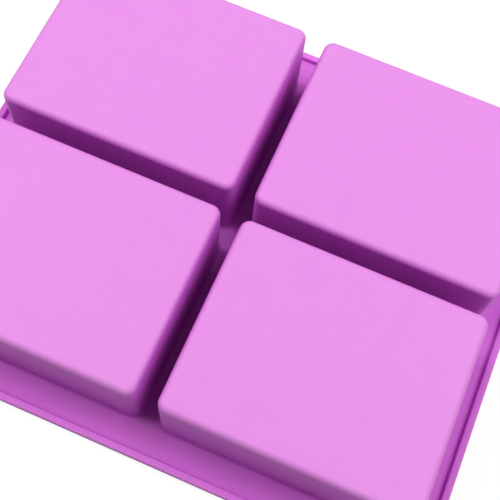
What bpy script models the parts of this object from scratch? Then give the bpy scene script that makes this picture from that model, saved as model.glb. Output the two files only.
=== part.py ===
"""Silicone soap mould with four rectangular cups, lying face down with the cup floors up.

Metres, +Z up. The origin is on the table under the middle of the mould. X runs along the
long sides of the cups and Y along their short sides, with the front of the mould at -Y.
The real mould is one soft moulding. It is divided here along the lines where it bends, so
that the right half can fold up and each cup floor can be pressed into its cup.
"""

import math

import bmesh
import bpy

MM = 0.001

# Cups: outside sizes are taken where the wall meets the deck
CUP_LENGTH = 83.1 * MM
CUP_WIDTH = 67.2 * MM
CUP_HEIGHT = 32.0 * MM
CUP_CORNER = 3.5 * MM
CUP_EDGE = 2.2 * MM
CUP_DRAFT = math.radians(0.1)
WALL = 2.2 * MM
FLOOR = 2.5 * MM
CAVITY_EDGE = 1.0 * MM

# Part of the floor that stays with the wall, inside the wall's inner face
FLOOR_LEDGE = 2.5 * MM
FLOOR_CORNER = 3.0 * MM

# Deck and the channels between the cups
DECK = 2.2 * MM
CHANNEL_X = 6.9 * MM
CHANNEL_Y = 6.1 * MM
DECK_MARGIN_X = 8.8 * MM
DECK_MARGIN_Y = 9.2 * MM

# Rim
RIM_WIDTH = 2.6 * MM
RIM_RISE = 1.75 * MM
RIM_CORNER = 10.0 * MM
RIM_EDGE = 0.6 * MM

# Gap between neighbouring pieces, and how far a cutter reaches past what it cuts
GAP = 0.3 * MM
OVERCUT = 2.0 * MM

# Facets in a quarter turn, and the length below which two heights are the same
CORNER_STEPS = 6
EDGE_STEPS = 4
SAME = 0.001 * MM

# Places that follow from the sizes above
CUP_STEP_X = CUP_LENGTH + CHANNEL_X
CUP_STEP_Y = CUP_WIDTH + CHANNEL_Y
HEIGHT = DECK + CUP_HEIGHT
RIM_TOP = DECK + RIM_RISE
RIM_INSIDE_LENGTH = CUP_STEP_X + CUP_LENGTH + 2 * DECK_MARGIN_X
RIM_INSIDE_WIDTH = CUP_STEP_Y + CUP_WIDTH + 2 * DECK_MARGIN_Y
LENGTH = RIM_INSIDE_LENGTH + 2 * RIM_WIDTH
WIDTH = RIM_INSIDE_WIDTH + 2 * RIM_WIDTH

SIDES = {"left": -1, "right": 1}
ROWS = {"front": -1, "rear": 1}

# Base colour of the silicone in linear light, and its satin finish
SILICONE_COLOUR = (0.76, 0.25, 0.76, 1.0)
SILICONE_ROUGHNESS = 0.45


def clear_scene():
    for item in list(bpy.data.objects):
        bpy.data.objects.remove(item, do_unlink=True)


def new_collection(name):
    collection = bpy.data.collections.new(name)
    bpy.context.scene.collection.children.link(collection)
    return collection


def silicone(name):
    """A satin silicone material of the piece's own."""
    material = bpy.data.materials.new(name + "_silicone")
    material.use_nodes = True
    shader = material.node_tree.nodes["Principled BSDF"]
    shader.inputs["Base Color"].default_value = SILICONE_COLOUR
    shader.inputs["Roughness"].default_value = SILICONE_ROUGHNESS
    shader.inputs["Metallic"].default_value = 0.0
    return material


def rounded_block(name, length, width, low, high, corner=0.0, draft=0.0, edge=0.0):
    """A box with its upright edges rounded by corner and its top edges by edge.

    Its sides lean in by draft as they rise, and length and width are those at the deck's top.
    """
    shape = bmesh.new()
    bmesh.ops.create_cube(shape, size=2.0)
    for vertex in shape.verts:
        height = high if vertex.co.z > 0 else low
        lean = (height - DECK) * math.tan(draft)
        vertex.co.x *= length / 2 - lean
        vertex.co.y *= width / 2 - lean
        vertex.co.z = height
    if corner:
        upright = [e for e in shape.edges if abs(e.verts[0].co.z - e.verts[1].co.z) > SAME]
        bmesh.ops.bevel(
            shape, geom=upright, offset=corner, segments=CORNER_STEPS, profile=0.5, affect="EDGES"
        )
    if edge:
        top = [e for e in shape.edges if all(v.co.z > high - SAME for v in e.verts)]
        bmesh.ops.bevel(
            shape, geom=top, offset=edge, segments=EDGE_STEPS, profile=0.5, affect="EDGES"
        )
    mesh = bpy.data.meshes.new(name)
    shape.to_mesh(mesh)
    shape.free()
    return bpy.data.objects.new(name, mesh)


def add_part(block, parent):
    """Put a piece in the mould's collection, under its half of the mould."""
    parts.objects.link(block)
    block.data.materials.append(silicone(block.name))
    block.data.shade_smooth()
    block.data.set_sharp_from_angle(angle=math.radians(30))
    place = block.location.copy()
    block.parent = parent
    block.location = place - parent.location
    return block


def add_cutter(block, x=0.0, y=0.0):
    cutters.objects.link(block)
    block.location = (x, y, 0.0)
    block.hide_render = True
    block.display_type = "WIRE"
    return block


def cut(block, cutter):
    modifier = block.modifiers.new(cutter.name, "BOOLEAN")
    modifier.operation = "DIFFERENCE"
    modifier.object = cutter


def make_half_cutter(side):
    """A box over everything beyond the fold line, seen from one half."""
    reach = LENGTH
    block = rounded_block(
        "beyond_" + side, reach, WIDTH + 2 * OVERCUT, -OVERCUT, RIM_TOP + OVERCUT
    )
    middle = -SIDES[side] * (reach / 2 - GAP / 2)
    return add_cutter(block, x=middle)


def make_cavity_cutter(cup, x, y):
    """The hollow that holds the soap, open at the mould's face."""
    block = rounded_block(
        cup + "_cavity", CUP_LENGTH - 2 * WALL, CUP_WIDTH - 2 * WALL, -OVERCUT, HEIGHT - FLOOR,
        CUP_CORNER - WALL, CUP_DRAFT, CAVITY_EDGE,
    )
    return add_cutter(block, x, y)


def floor_size():
    """Length and width of the flexible middle of a cup's floor."""
    lean = CUP_HEIGHT * math.tan(CUP_DRAFT)
    inset = 2 * (WALL + FLOOR_LEDGE + lean)
    return CUP_LENGTH - inset, CUP_WIDTH - inset


def make_cup_floor(cup, x, y, half):
    length, width = floor_size()
    block = rounded_block(cup + "_cup_floor", length, width, HEIGHT - FLOOR, HEIGHT, FLOOR_CORNER)
    block.location = (x, y, 0.0)
    return add_part(block, half)


def make_cup_wall(cup, x, y, half, cavity):
    """The ring of walls, with the rounded edge and the rim of floor that stays with it."""
    block = rounded_block(
        cup + "_cup_wall", CUP_LENGTH, CUP_WIDTH, DECK + GAP, HEIGHT, CUP_CORNER, CUP_DRAFT, CUP_EDGE
    )
    block.location = (x, y, 0.0)
    add_part(block, half)
    length, width = floor_size()
    opening = rounded_block(
        cup + "_floor_opening", length + 2 * GAP, width + 2 * GAP,
        HEIGHT - FLOOR - OVERCUT, HEIGHT + OVERCUT, FLOOR_CORNER + GAP,
    )
    cut(block, cavity)
    cut(block, add_cutter(opening, x, y))
    return block


def make_deck(side, half, beyond, cavities):
    """Half of the flat web, with the mouths of its two cups."""
    corner = max(RIM_CORNER - RIM_WIDTH - GAP, GAP)
    block = rounded_block(
        side + "_deck", RIM_INSIDE_LENGTH - 2 * GAP, RIM_INSIDE_WIDTH - 2 * GAP, 0.0, DECK, corner
    )
    add_part(block, half)
    cut(block, beyond)
    for cavity in cavities:
        cut(block, cavity)
    return block


def make_rim(side, half, beyond, inside):
    """Half of the raised lip round the deck."""
    block = rounded_block(side + "_rim", LENGTH, WIDTH, 0.0, RIM_TOP, RIM_CORNER, edge=RIM_EDGE)
    add_part(block, half)
    cut(block, inside)
    cut(block, beyond)
    return block


def make_rim_inside():
    corner = max(RIM_CORNER - RIM_WIDTH, GAP)
    block = rounded_block(
        "rim_inside", RIM_INSIDE_LENGTH, RIM_INSIDE_WIDTH, -OVERCUT, RIM_TOP + OVERCUT, corner
    )
    return add_cutter(block)


def make_half(side, inside):
    """All the pieces on one side of the fold line, under an empty that lies on that line."""
    half = bpy.data.objects.new(side + "_half", None)
    half.location = (0.0, 0.0, RIM_TOP)
    parts.objects.link(half)
    beyond = make_half_cutter(side)
    cavities = []
    for row, y_sign in ROWS.items():
        cup = row + "_" + side
        x = SIDES[side] * CUP_STEP_X / 2
        y = y_sign * CUP_STEP_Y / 2
        cavity = make_cavity_cutter(cup, x, y)
        cavities.append(cavity)
        make_cup_wall(cup, x, y, half, cavity)
        make_cup_floor(cup, x, y, half)
    make_deck(side, half, beyond, cavities)
    make_rim(side, half, beyond, inside)


clear_scene()
parts = new_collection("silicone_soap_mould")
cutters = new_collection("cutters")
rim_inside = make_rim_inside()
for side_name in SIDES:
    make_half(side_name, rim_inside)
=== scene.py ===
"""Looks of a silicone soap mould that lies face down: one soft moulding of four cups on a deck.

Metres, +Z up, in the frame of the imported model. The mould is shown as three kinds of skin: the
deck with its rim, the outside of each cup, and the lining of each cup's cavity.
"""

import math

import bmesh
import bpy
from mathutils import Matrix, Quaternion, Vector


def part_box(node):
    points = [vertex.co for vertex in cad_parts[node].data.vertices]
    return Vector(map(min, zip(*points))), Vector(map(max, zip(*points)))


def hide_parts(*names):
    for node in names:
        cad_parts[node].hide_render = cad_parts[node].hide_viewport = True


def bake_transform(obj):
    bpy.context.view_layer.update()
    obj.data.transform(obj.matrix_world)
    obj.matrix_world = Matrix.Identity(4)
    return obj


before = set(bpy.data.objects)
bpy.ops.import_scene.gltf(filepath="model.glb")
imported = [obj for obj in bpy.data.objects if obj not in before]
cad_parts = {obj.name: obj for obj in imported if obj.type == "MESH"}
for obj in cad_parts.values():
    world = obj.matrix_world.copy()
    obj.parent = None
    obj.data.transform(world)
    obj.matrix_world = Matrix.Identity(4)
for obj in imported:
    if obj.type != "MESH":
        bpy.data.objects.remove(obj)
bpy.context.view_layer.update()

MM = 0.001

# Sizes and places that the frame gives
wall_low, wall_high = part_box("front_left_cup_wall")
floor_low, floor_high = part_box("front_left_cup_floor")
deck_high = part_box("left_deck")[1]
rim_low, rim_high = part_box("left_rim")

HEIGHT = wall_high.z
DECK = deck_high.z
RIM_TOP = rim_high.z
FLOOR = floor_high.z - floor_low.z
CUP_HALF_X = (wall_high.x - wall_low.x) / 2
CUP_HALF_Y = (wall_high.y - wall_low.y) / 2
CUP_X = -(wall_high.x + wall_low.x) / 2
CUP_Y = -(wall_high.y + wall_low.y) / 2
RIM_HALF_X = -rim_low.x
RIM_HALF_Y = -rim_low.y

# Sizes of the moulding that a box doesn't show
WALL = 2.2 * MM
DRAFT = math.radians(0.1)
CUP_CORNER = 3.5 * MM
CUP_EDGE = 2.2 * MM
FOOT_FILLET = 1.6 * MM
CAVITY_EDGE = 1.0 * MM
MOUTH_EDGE = 0.6 * MM
RIM_WIDTH = 2.6 * MM
RIM_CORNER = 10.0 * MM
RIM_EDGE = 0.6 * MM
RIM_FILLET = 0.5 * MM

# A floor rises by this much from its edge to its middle
CROWN = 0.25 * MM

# The deck bends over the fold line, inside this half width of the channel and clear of the cups'
# feet, and is cut there into strips
BEND_CLEARANCE = 0.1 * MM
BEND_HALF = CUP_X - CUP_HALF_X - FOOT_FILLET - BEND_CLEARANCE
BEND_STRIPS = 12

# Points closer than this are the same
SAME = 0.001 * MM

# Points on each outline, and rings on each fillet, wall and floor
CORNER_STEPS = 10
SIDE_STEPS = 16
FILLET_STEPS = 10
WALL_STEPS = 6
FLOOR_STEPS = 18

# Faces that meet at a smaller angle than this are shaded as one surface
SMOOTH_LIMIT = math.radians(30)

SIDES = {"left": -1, "right": 1}
ROWS = {"front": -1, "rear": 1}


# Outlines and skins

def outline(half_x, half_y, corner, height, centre=(0.0, 0.0)):
    """A level rounded rectangle, anticlockwise from above, with points along its sides."""
    arcs = []
    for turn, (x_sign, y_sign) in enumerate(((1, 1), (-1, 1), (-1, -1), (1, -1))):
        x = centre[0] + x_sign * (half_x - corner)
        y = centre[1] + y_sign * (half_y - corner)
        angles = [math.pi / 2 * (turn + step / CORNER_STEPS) for step in range(CORNER_STEPS + 1)]
        arcs.append(
            [Vector((x + corner * math.cos(a), y + corner * math.sin(a), height)) for a in angles]
        )
    points = []
    for arc, following in zip(arcs, arcs[1:] + arcs[:1]):
        points += arc
        points += [arc[-1].lerp(following[0], step / SIDE_STEPS) for step in range(1, SIDE_STEPS)]
    return points


def quarter(centre_out, centre_up, radius, first, last):
    """Points on a fillet's arc as (distance outward, height), between two angles in degrees."""
    turn = last - first
    angles = [math.radians(first + turn * step / FILLET_STEPS) for step in range(FILLET_STEPS + 1)]
    return [(centre_out + radius * math.cos(a), centre_up + radius * math.sin(a)) for a in angles]


def add_rings(shape, loops, inward=False):
    """Rings of faces between successive outlines. Returns each outline's vertices."""
    rings = [[shape.verts.new(point) for point in loop] for loop in loops]
    for ring, following in zip(rings, rings[1:]):
        for here in range(len(ring)):
            after = (here + 1) % len(ring)
            corners = [ring[here], ring[after], following[after], following[here]]
            shape.faces.new(reversed(corners) if inward else corners)
    return rings


def close_ring(shape, ring, middle, inward=False):
    """A fan of triangles from a ring to a point."""
    tip = shape.verts.new(middle)
    for here in range(len(ring)):
        corners = [ring[here], ring[(here + 1) % len(ring)], tip]
        shape.faces.new(reversed(corners) if inward else corners)


def add_piece(name, shape):
    """A smoothly shaded piece of the mould, made of its silicone."""
    mesh = bpy.data.meshes.new(name)
    shape.to_mesh(mesh)
    shape.free()
    mesh.shade_smooth()
    mesh.set_sharp_from_angle(angle=SMOOTH_LIMIT)
    piece = bpy.data.objects.new(name, mesh)
    bpy.context.scene.collection.objects.link(piece)
    piece.data.materials.append(silicone)
    return piece


# Cups

def cup_outline(out, height, centre):
    """A cup's outline at a height, moved outward from the leaning outside of its wall."""
    lean = (height - DECK) * math.tan(DRAFT)
    away = out - lean
    return outline(CUP_HALF_X + away, CUP_HALF_Y + away, CUP_CORNER + away, height, centre)


def floor_loops(edge_loop, centre):
    """Outlines that shrink from a floor's edge to its middle as the floor rises to its crown."""
    reach_x = max(point.x for point in edge_loop) - centre[0]
    reach_y = max(point.y for point in edge_loop) - centre[1]
    loops = []
    for step in range(1, FLOOR_STEPS):
        size = 1 - step / FLOOR_STEPS
        loop = []
        for point in edge_loop:
            x = (point.x - centre[0]) * size
            y = (point.y - centre[1]) * size
            rise = CROWN * (1 - (x / reach_x) ** 2) * (1 - (y / reach_y) ** 2)
            loop.append(Vector((centre[0] + x, centre[1] + y, point.z + rise)))
        loops.append(loop)
    return loops


def profile_loops(profile, centre):
    """A cup's outline at each point of a profile."""
    return [cup_outline(out, height, centre) for out, height in profile]


def straight(first, last):
    """Points between two points of a profile, without those two."""
    return [
        tuple(a + (b - a) * step / WALL_STEPS for a, b in zip(first, last))
        for step in range(1, WALL_STEPS)
    ]


def make_cup_skin(name, profile, centre, inward):
    """A wall that follows the profile, closed by a floor at its upper end."""
    shape = bmesh.new()
    loops = profile_loops(profile, centre)
    loops += floor_loops(loops[-1], centre)
    rings = add_rings(shape, loops, inward)
    middle = Vector((*centre, profile[-1][1] + CROWN))
    close_ring(shape, rings[-1], middle, inward)
    return add_piece(name, shape)


def shell_profile():
    """Up the outside of a cup: fillet at the foot, wall, and rounded edge of the floor."""
    foot = quarter(FOOT_FILLET, DECK + FOOT_FILLET, FOOT_FILLET, 270, 180)
    edge = quarter(-CUP_EDGE, HEIGHT - CROWN - CUP_EDGE, CUP_EDGE, 0, 90)
    return foot + straight(foot[-1], edge[0]) + edge


def lining_profile():
    """Up the inside of a cup: rounded lip of the mouth, wall, and fillet to the floor."""
    ceiling = HEIGHT - FLOOR - CROWN
    lip = quarter(-WALL + MOUTH_EDGE, MOUTH_EDGE, MOUTH_EDGE, 270, 180)
    edge = quarter(-WALL - CAVITY_EDGE, ceiling - CAVITY_EDGE, CAVITY_EDGE, 0, 90)
    return lip + straight(lip[-1], edge[0]) + edge


def make_cup(row, side):
    """The shell and the lining of a cup."""
    cup = row + "_" + side
    centre = (SIDES[side] * CUP_X, ROWS[row] * CUP_Y)
    skins = (
        ("shell", shell_profile(), False, cup + "_cup_wall"),
        ("lining", lining_profile(), True, cup + "_cup_floor"),
    )
    for kind, profile, inward, node in skins:
        skin = make_cup_skin(cup + "_cup_" + kind, profile, centre, inward)
        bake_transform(skin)
        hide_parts(node)


# Deck and rim

def rim_outline(inset, height):
    return outline(RIM_HALF_X - inset, RIM_HALF_Y - inset, RIM_CORNER - inset, height)


def rim_profile():
    """Over the rim as (distance inward, height), from the mould's face to the top of the deck."""
    face_edge = quarter(-RIM_EDGE, RIM_EDGE, RIM_EDGE, 270, 360)
    outer_edge = quarter(-RIM_EDGE, RIM_TOP - RIM_EDGE, RIM_EDGE, 0, 90)
    inner_edge = quarter(-RIM_WIDTH + RIM_EDGE, RIM_TOP - RIM_EDGE, RIM_EDGE, 90, 180)
    foot = quarter(-RIM_WIDTH - RIM_FILLET, DECK + RIM_FILLET, RIM_FILLET, 0, -90)
    return [(-out, height) for out, height in face_edge + outer_edge + inner_edge + foot]


def shared_edge(here, after):
    """The edge between two vertices."""
    return next(edge for edge in here.link_edges if edge.other_vert(here) == after)


def ring_edges(ring):
    return [shared_edge(here, after) for here, after in zip(ring, ring[1:] + ring[:1])]


def fill_level(shape, rings, normal):
    """A flat face, in triangles, between an outer ring and the rings of its holes."""
    edges = [edge for ring in rings for edge in ring_edges(ring)]
    bmesh.ops.triangle_fill(shape, use_beauty=True, edges=edges, normal=normal)


def cut_strips(shape):
    """Cuts along the fold line, so that the deck can bend there."""
    for cut in range(BEND_STRIPS + 1):
        x = BEND_HALF * (2 * cut / BEND_STRIPS - 1)
        everything = shape.verts[:] + shape.edges[:] + shape.faces[:]
        bmesh.ops.bisect_plane(
            shape, geom=everything, dist=SAME, plane_co=(x, 0, 0), plane_no=(1, 0, 0)
        )


def make_deck():
    """The deck with its rim as one closed body, with a hole for each cup."""
    shape = bmesh.new()
    rim = add_rings(shape, [rim_outline(inset, height) for inset, height in rim_profile()])
    foot_start = shell_profile()[0]
    mouth_start = lining_profile()[0]
    feet = []
    mouths = []
    for row in ROWS.values():
        for side in SIDES.values():
            centre = (side * CUP_X, row * CUP_Y)
            loops = profile_loops((mouth_start, foot_start), centre)
            mouth, foot = add_rings(shape, loops, inward=True)
            mouths.append(mouth)
            feet.append(foot)
    fill_level(shape, [rim[-1]] + feet, (0, 0, 1))
    fill_level(shape, [rim[0]] + mouths, (0, 0, -1))
    cut_strips(shape)
    deck = add_piece("deck_and_rim", shape)
    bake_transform(deck)
    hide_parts("left_deck", "right_deck", "left_rim", "right_rim")


# Silicone

SILICONE_IOR = 1.41
SILICONE_GLOSS = 0.2
ROUGHNESS_LOW = 0.42
ROUGHNESS_HIGH = 0.54

# Painted shade: what is nearer than this hides part of the sky and darkens the colour, and an
# upright face counts as less open
PAINTED_SHADE_REACH = 45 * MM
PAINTED_UPRIGHT_SHARE = 0.75

# Base colours in linear light, by how much of the sky a place sees, as painted shade and light:
# deep in the channels, rich on the deck and walls, and paler on top of the cups
PAINTED_SHADE_COLOURS = (
    (0.03, (0.58, 0.12, 0.59, 1.0)),
    (0.14, (0.63, 0.135, 0.64, 1.0)),
    (0.38, (0.665, 0.155, 0.705, 1.0)),
    (0.70, (0.78, 0.19, 0.795, 1.0)),
    (0.80, (0.79, 0.245, 0.79, 1.0)),
    (1.00, (0.81, 0.29, 0.81, 1.0)),
)

# Most of a noise lies between these values
NOISE_LOW = 0.3
NOISE_HIGH = 0.7

# Clouds that make the colour richer or paler, and flecks that make it lighter or darker
CLOUD_SIZE = 9 * MM
CLOUD_DETAIL = 4
CLOUD_DEPTH = 0.014
FLECK_SIZE = 1.6 * MM
FLECK_DETAIL = 3
FLECK_DEPTH = 0.014

# Dust: one place for a speck in each cell, and the share of those places that hold one
DUST_CELL = 9 * MM
DUST_RADIUS = 0.2 * MM
DUST_SHARE = 0.3
DUST_COLOUR = (0.88, 0.62, 0.88, 1.0)

# Relief as size, height and detail: the slack of the soft walls, and a grain all over
RELIEF = (
    (14 * MM, 0.05 * MM, 1),
    (0.5 * MM, 0.008 * MM, 2),
)


def add_node(tree, kind, links=None, values=None):
    """A shader node, with what is linked to its inputs and the values of the others."""
    node = tree.nodes.new(kind)
    for name, value in (values or {}).items():
        node.inputs[name].default_value = value
    for name, output in (links or {}).items():
        tree.links.new(output, node.inputs[name])
    return node


def noise(tree, place, size, detail):
    """A cloudy number about 0.5, with features of about the given size."""
    values = {"Scale": 1 / size, "Detail": detail}
    return add_node(tree, "ShaderNodeTexNoise", {"Vector": place}, values).outputs["Fac"]


def spread(tree, value, first, last, low, high):
    """A value carried over from the range first to last to the range low to high."""
    values = {"From Min": first, "From Max": last, "To Min": low, "To Max": high}
    return add_node(tree, "ShaderNodeMapRange", {"Value": value}, values).outputs["Result"]


def patches(tree, place, size, detail, low, high):
    """A cloudy number from low to high."""
    cloudy = noise(tree, place, size, detail)
    return spread(tree, cloudy, NOISE_LOW, NOISE_HIGH, low, high)


def combine(tree, operation, first, second):
    """The result of an operation on two numbers."""
    node = add_node(tree, "ShaderNodeMath", {0: first, 1: second})
    node.operation = operation
    return node.outputs["Value"]


def painted_shade_share(tree):
    """How open a place is, for the painted shade: 1 on top of the cups and less on upright faces.
    """
    openness = add_node(tree, "ShaderNodeAmbientOcclusion", values={"Distance": PAINTED_SHADE_REACH})
    normal = add_node(tree, "ShaderNodeNewGeometry").outputs["Normal"]
    up = add_node(tree, "ShaderNodeSeparateXYZ", {"Vector": normal}).outputs["Z"]
    share = spread(tree, up, 0.0, 1.0, PAINTED_UPRIGHT_SHARE, 1.0)
    return combine(tree, "MULTIPLY", openness.outputs["AO"], share)


def painted_shade_colour(tree):
    """The base colour with painted shade and light: deep in the channels, paling up to the cup
    tops.
    """
    ramp = add_node(tree, "ShaderNodeValToRGB", {"Fac": painted_shade_share(tree)})
    stops = ramp.color_ramp.elements
    stops.remove(stops[0])
    stops[0].position, stops[0].color = PAINTED_SHADE_COLOURS[0]
    for place, colour in PAINTED_SHADE_COLOURS[1:]:
        stops.new(place).color = colour
    return ramp.outputs["Color"]


def mottled(tree, place, colour):
    """The colour with faint clouds and smaller flecks."""
    clouds = patches(tree, place, CLOUD_SIZE, CLOUD_DETAIL, 1 - CLOUD_DEPTH, 1 + CLOUD_DEPTH)
    flecks = patches(tree, place, FLECK_SIZE, FLECK_DETAIL, 1 - FLECK_DEPTH, 1 + FLECK_DEPTH)
    links = {"Color": colour, "Saturation": clouds, "Value": flecks}
    return add_node(tree, "ShaderNodeHueSaturation", links).outputs["Color"]


def dusted(tree, place, colour):
    """The colour with a few pale specks of dust."""
    values = {"Scale": 1 / DUST_CELL}
    cells = add_node(tree, "ShaderNodeTexVoronoi", {"Vector": place}, values)
    reach = DUST_RADIUS / DUST_CELL
    speck = spread(tree, cells.outputs["Distance"], reach / 2, reach, 1.0, 0.0)
    lot = add_node(tree, "ShaderNodeSeparateColor", {"Color": cells.outputs["Color"]})
    chosen = add_node(tree, "ShaderNodeMath", {0: lot.outputs["Red"]}, {1: DUST_SHARE})
    chosen.operation = "LESS_THAN"
    share = combine(tree, "MULTIPLY", speck, chosen.outputs["Value"])
    links = {"Fac": share, "Color1": colour}
    return add_node(tree, "ShaderNodeMixRGB", links, {"Color2": DUST_COLOUR}).outputs["Color"]


def relief(tree, place):
    """The normal of a surface with a slow unevenness and a fine grain."""
    normal = None
    for size, height, detail in RELIEF:
        links = {"Height": noise(tree, place, size, detail)}
        if normal:
            links["Normal"] = normal
        normal = add_node(tree, "ShaderNodeBump", links, {"Distance": height}).outputs["Normal"]
    return normal


def make_silicone():
    material = bpy.data.materials.new("orchid_silicone")
    material.use_nodes = True
    tree = material.node_tree
    shader = tree.nodes["Principled BSDF"]
    shader.inputs["IOR"].default_value = SILICONE_IOR
    shader.inputs["Specular IOR Level"].default_value = SILICONE_GLOSS
    place = add_node(tree, "ShaderNodeTexCoord").outputs["Object"]
    # The base colour holds painted shade in the hollows and painted paleness on the tops, under
    # real mottling and dust
    colour = dusted(tree, place, mottled(tree, place, painted_shade_colour(tree)))
    roughness = patches(tree, place, FLECK_SIZE, FLECK_DETAIL, ROUGHNESS_LOW, ROUGHNESS_HIGH)
    tree.links.new(colour, shader.inputs["Base Color"])
    tree.links.new(roughness, shader.inputs["Roughness"])
    tree.links.new(relief(tree, place), shader.inputs["Normal"])
    return material


# Table, which looks white but for the mould's shadow and a painted contact shadow where the two
# meet

TABLE_RADIUS = 3.0
TABLE_SIDES = 96
TABLE_DROP = 0.02 * MM
TABLE_COLOUR = (0.6, 0.6, 0.6, 1.0)
SHADOW_COLOUR = (0.15, 0.15, 0.15, 1.0)

# The table's own white, which grows away from the mould as the light of the lamps fades, and the
# distances in metres between which it grows
GLOW_NEAR = 0.89
GLOW_FAR = 1.0
NEAR_DISTANCE = 0.2
FAR_DISTANCE = 0.8

# Painted contact shadow, a dark line in the table's glow: its reach, its share of the white, and
# how open a place is where it starts and ends
PAINTED_CONTACT_REACH = 0.3 * MM
PAINTED_CONTACT_SHARE = 0.02
PAINTED_CONTACT_DARK = 0.62
PAINTED_CONTACT_CLEAR = 0.74


def seen(tree):
    """1 for a ray that shows the white round the mould, and 0 for one that only lights it."""
    path = add_node(tree, "ShaderNodeLightPath").outputs
    direct = combine(tree, "MAXIMUM", path["Is Camera Ray"], path["Is Glossy Ray"])
    return combine(tree, "MAXIMUM", direct, path["Is Transmission Ray"])


def glow_with_painted_contact(tree):
    """How bright the table's own white is at each place, darkened by a painted contact shadow at
    the mould.
    """
    place = add_node(tree, "ShaderNodeTexCoord").outputs["Object"]
    length = add_node(tree, "ShaderNodeVectorMath", {0: place})
    length.operation = "LENGTH"
    distance = length.outputs["Value"]
    white = spread(tree, distance, NEAR_DISTANCE, FAR_DISTANCE, GLOW_NEAR, GLOW_FAR)
    # A painted contact shadow: the glow fades to dark where the table meets the mould
    painted_contact_shadow = add_node(tree, "ShaderNodeAmbientOcclusion", values={"Distance": PAINTED_CONTACT_REACH})
    share = spread(tree, painted_contact_shadow.outputs["AO"], PAINTED_CONTACT_DARK, PAINTED_CONTACT_CLEAR, PAINTED_CONTACT_SHARE, 1.0)
    return combine(tree, "MULTIPLY", white, share)


def make_white():
    """Grey where it lights the mould, and a glowing white with a faint shadow and a painted
    contact shadow where it is seen.
    """
    material = bpy.data.materials.new("white_table")
    material.use_nodes = True
    tree = material.node_tree
    lit = tree.nodes["Principled BSDF"]
    lit.inputs["Base Color"].default_value = TABLE_COLOUR
    lit.inputs["Specular IOR Level"].default_value = 0.0
    glow = add_node(tree, "ShaderNodeEmission", {"Strength": glow_with_painted_contact(tree)})
    shadow = add_node(tree, "ShaderNodeBsdfDiffuse", values={"Color": SHADOW_COLOUR})
    white = add_node(tree, "ShaderNodeAddShader", {0: glow.outputs[0], 1: shadow.outputs[0]})
    shaders = {0: seen(tree), 1: lit.outputs[0], 2: white.outputs[0]}
    mix = add_node(tree, "ShaderNodeMixShader", shaders)
    tree.links.new(mix.outputs[0], tree.nodes["Material Output"].inputs["Surface"])
    return material


def make_table():
    shape = bmesh.new()
    bmesh.ops.create_circle(shape, cap_ends=True, segments=TABLE_SIDES, radius=TABLE_RADIUS)
    mesh = bpy.data.meshes.new("table")
    shape.to_mesh(mesh)
    shape.free()
    mesh.materials.append(make_white())
    table = bpy.data.objects.new("table", mesh)
    table.location.z = -TABLE_DROP
    bpy.context.scene.collection.objects.link(table)


# Light

# Name, azimuth from +X towards +Y and elevation in degrees, size in metres, and watts
SOFTBOXES = (
    ("left_softbox", 182, 57, 0.5, 4.58),
    ("right_softbox", 19, 55, 0.65, 5.2),
    ("rear_softbox", 120, 42, 0.5, 0.9),
)
SOFTBOX_DISTANCE = 0.9

# Colour of the room, and the share of it that lights the mould
ROOM_COLOUR = (1.0, 1.0, 1.0, 1.0)
ROOM_LIGHT = 0.03


def add_softbox(name, azimuth, elevation, size, power):
    """A square white lamp that faces the mould."""
    turn = math.radians(azimuth)
    rise = math.radians(elevation)
    toward = Vector(
        (math.cos(turn) * math.cos(rise), math.sin(turn) * math.cos(rise), math.sin(rise))
    )
    light = bpy.data.lights.new(name, "AREA")
    light.shape = "SQUARE"
    light.size = size
    light.energy = power
    lamp = bpy.data.objects.new(name, light)
    lamp.location = toward * SOFTBOX_DISTANCE
    lamp.rotation_euler = (-toward).to_track_quat("-Z", "Y").to_euler()
    lamp.visible_camera = False
    bpy.context.scene.collection.objects.link(lamp)


def make_room():
    """A room that gives little light and looks white."""
    world = bpy.data.worlds.new("room")
    bpy.context.scene.world = world
    world.use_nodes = True
    tree = world.node_tree
    background = tree.nodes["Background"]
    background.inputs["Color"].default_value = ROOM_COLOUR
    strength = spread(tree, seen(tree), 0.0, 1.0, ROOM_LIGHT, 1.0)
    tree.links.new(strength, background.inputs["Strength"])


# Camera

# Lens and sensor width in millimetres, and how far the view is shifted up as a share of its width
CAMERA_PLACE = Vector((37.85, -115.44, 291.99)) * MM
CAMERA_AIM = Vector((10.61, -10.84, 2.2)) * MM
CAMERA_ROLL = math.radians(-8.989)
CAMERA_LENS = 64.58
CAMERA_SENSOR = 36.0
CAMERA_RISE = 0.06


def make_camera():
    """A camera at the photograph's viewing angle."""
    data = bpy.data.cameras.new("camera")
    data.lens = CAMERA_LENS
    data.sensor_width = CAMERA_SENSOR
    data.shift_y = CAMERA_RISE
    camera = bpy.data.objects.new("camera", data)
    level = (CAMERA_AIM - CAMERA_PLACE).to_track_quat("-Z", "Y")
    camera.rotation_mode = "QUATERNION"
    camera.rotation_quaternion = level @ Quaternion((0, 0, 1), -CAMERA_ROLL)
    camera.location = CAMERA_PLACE
    bpy.context.scene.collection.objects.link(camera)
    bpy.context.scene.camera = camera


silicone = make_silicone()
make_deck()
for row_name in ROWS:
    for side_name in SIDES:
        make_cup(row_name, side_name)
make_table()
make_room()
for softbox in SOFTBOXES:
    add_softbox(*softbox)
make_camera()
bpy.context.scene.view_settings.view_transform = "Standard"
